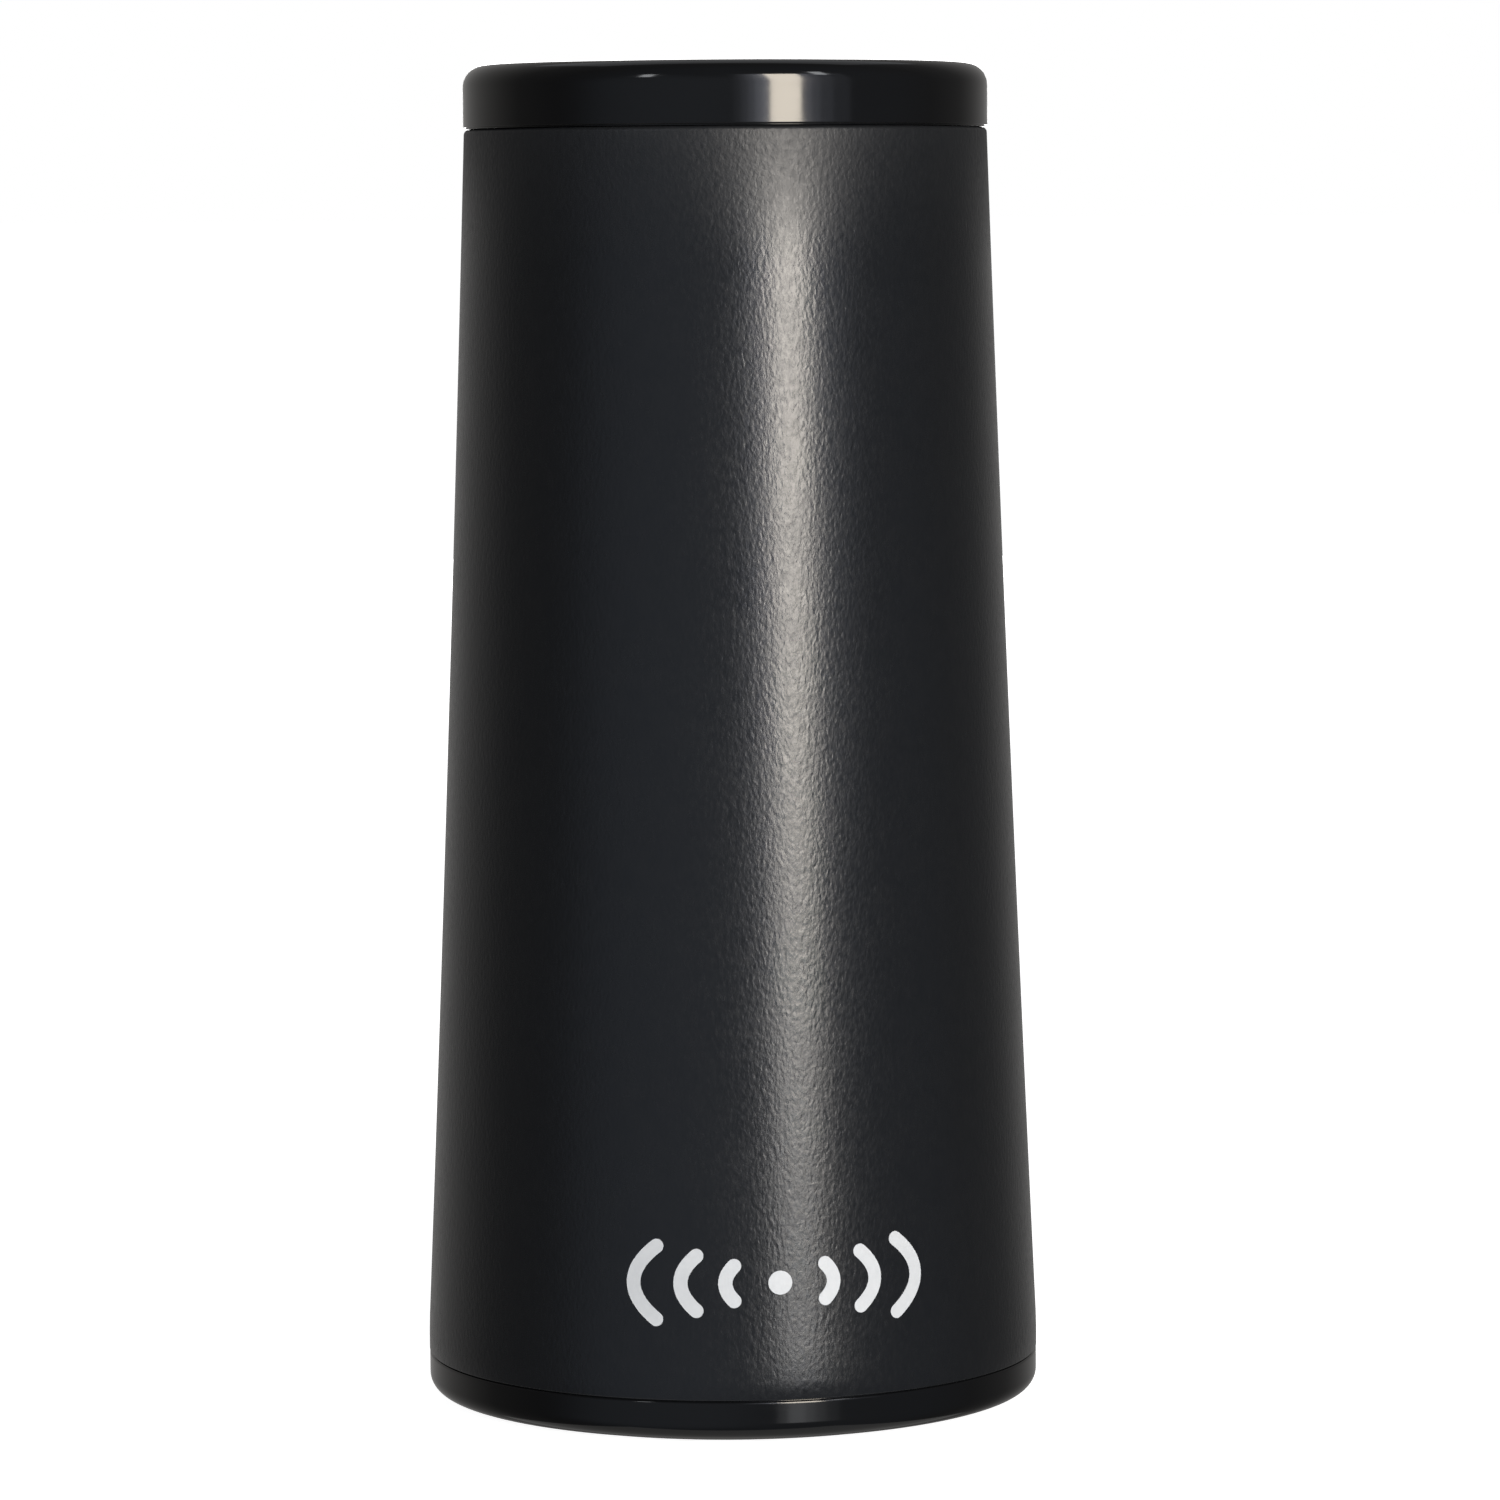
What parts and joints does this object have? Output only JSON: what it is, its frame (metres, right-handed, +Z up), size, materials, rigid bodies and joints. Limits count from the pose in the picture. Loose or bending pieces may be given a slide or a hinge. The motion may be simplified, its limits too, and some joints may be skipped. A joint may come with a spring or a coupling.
{
  "type": "low-profile vehicle antenna",
  "caption": "Tapered black radome with a gloss plug cap and base ring, a coil element inside, and a screw-on base with a sprung centre contact.",
  "frame": {"origin": "centre of the mounting face, the underside of the base gasket", "axes": "+Z up along the antenna's axis; -Y is the front, the side with the printed sign"},
  "size_m": [0.0382, 0.0382, 0.0828],
  "materials": {
    "grained_black_plastic": "fine moulded grain, satin",
    "gloss_black_plastic": "polished moulding",
    "black_rubber": "matt moulded rubber",
    "nickel_plate": "satin nickel plate over turned brass",
    "brass": "turned",
    "gold_plate": "bright gold plate",
    "white_ptfe": "waxy turned fluoropolymer",
    "spring_steel": "drawn wire",
    "circuit_board": "solder mask over glass laminate",
    "enamelled_copper": "enamelled copper wire",
    "capacitor_ceramic": "fired chip",
    "natural_nylon": "natural moulded nylon",
    "zinc_steel": "zinc plated",
    "grey_foam": "closed-cell foam"
  },
  "bodies": {
    "housing": {"radome": "grained_black_plastic", "top_cap": "gloss_black_plastic", "base_body": "gloss_black_plastic", "top_cap_seal": "black_rubber", "base_seal": "black_rubber", "mount_gasket": "black_rubber", "threaded_insert": "nickel_plate", "contact_insulator": "white_ptfe", "contact_barrel": "brass", "matching_board": "circuit_board", "shunt_coil": "enamelled_copper", "tuning_capacitor": "capacitor_ceramic", "board_screw_1": "zinc_steel", "board_screw_2": "zinc_steel", "board_screw_3": "zinc_steel", "coil_former": "natural_nylon", "feed_screw": "zinc_steel", "feed_lug": "brass", "radiating_coil": "enamelled_copper", "top_hat": "brass", "hat_washer": "spring_steel", "hat_screw": "zinc_steel", "foam_pad": "grey_foam"},
    "contact": {"contact_plunger": "gold_plate", "contact_spring": "spring_steel"}
  },
  "joints": [
    {"name": "contact_travel", "type": "slide", "parent": "housing", "child": "contact", "axis": [0, 0, 1], "range_m": [0, 0.002], "stiffness_N_per_m": 400, "springref_m": -0.002, "deforming": ["contact_spring"]}
  ]
}
